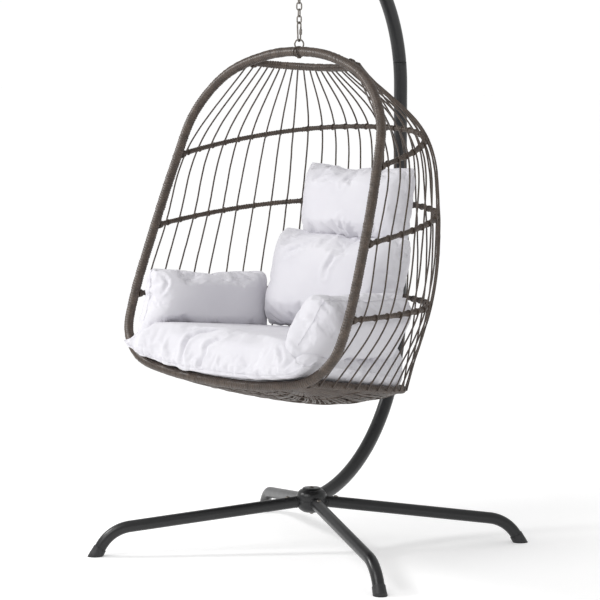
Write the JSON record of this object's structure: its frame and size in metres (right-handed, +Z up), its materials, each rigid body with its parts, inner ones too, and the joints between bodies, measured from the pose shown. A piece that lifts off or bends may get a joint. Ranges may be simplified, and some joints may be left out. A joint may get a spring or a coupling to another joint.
{
  "type": "hanging egg chair",
  "caption": "Free-standing garden swing chair: egg-shaped wicker basket with loose cushions, hung by a short chain from a C-shaped tube pole on a splayed-leg base.",
  "frame": {"origin": "on the floor, under the middle of the whole object's box", "axes": "+Z up; the pole stands behind, towards +Y; the basket hangs in front of it and faces -Y, turned 16 degrees towards -X"},
  "size_m": [1.1174, 1.1005, 1.9423],
  "materials": {
    "powder_coat": "charcoal satin powder coat",
    "moulded_black": "black moulded plastic",
    "grey_steel": "dull zinc-plated steel, slightly weathered",
    "brown_wicker": "grey-brown resin wicker, fine wound strands",
    "white_fabric": "off-white woven polyester"
  },
  "bodies": {
    "stand": {"base_hub": "powder_coat", "hub_cap": "powder_coat", "hub_bolt": "grey_steel", "hub_nut": "grey_steel", "leg_front_left": "powder_coat", "leg_front_right": "powder_coat", "leg_rear_left": "powder_coat", "leg_rear_right": "powder_coat", "leg_bolt_front_left": "grey_steel", "leg_bolt_front_right": "grey_steel", "leg_bolt_rear_left": "grey_steel", "leg_bolt_rear_right": "grey_steel", "foot_front_left": "moulded_black", "foot_front_right": "moulded_black", "foot_rear_left": "moulded_black", "foot_rear_right": "moulded_black", "pole_lower": "powder_coat", "pole_sleeve": "grey_steel", "pole_upper": "powder_coat", "pole_bolt": "grey_steel", "pole_end_cap": "moulded_black"},
    "eye": {"pole_eye": "grey_steel", "pole_eye_nut": "grey_steel"},
    "top_link": {"top_quick_link": "grey_steel", "top_quick_link_sleeve": "grey_steel"},
    "chain": {"chain_link_1": "grey_steel", "chain_link_2": "grey_steel", "chain_link_3": "grey_steel", "chain_link_4": "grey_steel", "chain_link_5": "grey_steel", "chain_link_6": "grey_steel", "lower_quick_link": "grey_steel", "lower_quick_link_sleeve": "grey_steel"},
    "basket": {"front_rim": "brown_wicker", "top_arc": "brown_wicker", "hoop_upper": "brown_wicker", "hoop_middle": "brown_wicker", "hoop_lower": "brown_wicker", "base_ring": "brown_wicker", "weave_top": "brown_wicker", "weave_upper": "brown_wicker", "weave_middle": "brown_wicker", "weave_lower": "brown_wicker", "seat_weave": "brown_wicker", "rim_eye": "grey_steel", "seat_cushion": "white_fabric", "arm_cushion_left": "white_fabric", "arm_cushion_right": "white_fabric", "back_cushion": "white_fabric", "head_cushion": "white_fabric"}
  },
  "joints": [
    {"name": "basket_turn", "type": "hinge", "parent": "stand", "child": "eye", "pos_m": [0.0145, -0.0867, 1.8353], "axis": [0, 0, 1], "range_deg": [-24, 56]},
    {"name": "side_swing", "type": "hinge", "parent": "eye", "child": "top_link", "pos_m": [0.0145, -0.0867, 1.8353], "axis": [0.2756, 0.9613, 0], "range_deg": [-5, 5]},
    {"name": "fore_aft_swing", "type": "hinge", "parent": "top_link", "child": "chain", "pos_m": [0.0145, -0.0867, 1.7816], "axis": [-0.9613, 0.2756, 0], "range_deg": [-5, 18]},
    {"name": "basket_tilt", "type": "hinge", "parent": "chain", "child": "basket", "pos_m": [0.0145, -0.0867, 1.6117], "axis": [0.9659, 0.2588, 0], "range_deg": [-3, 3]}
  ]
}
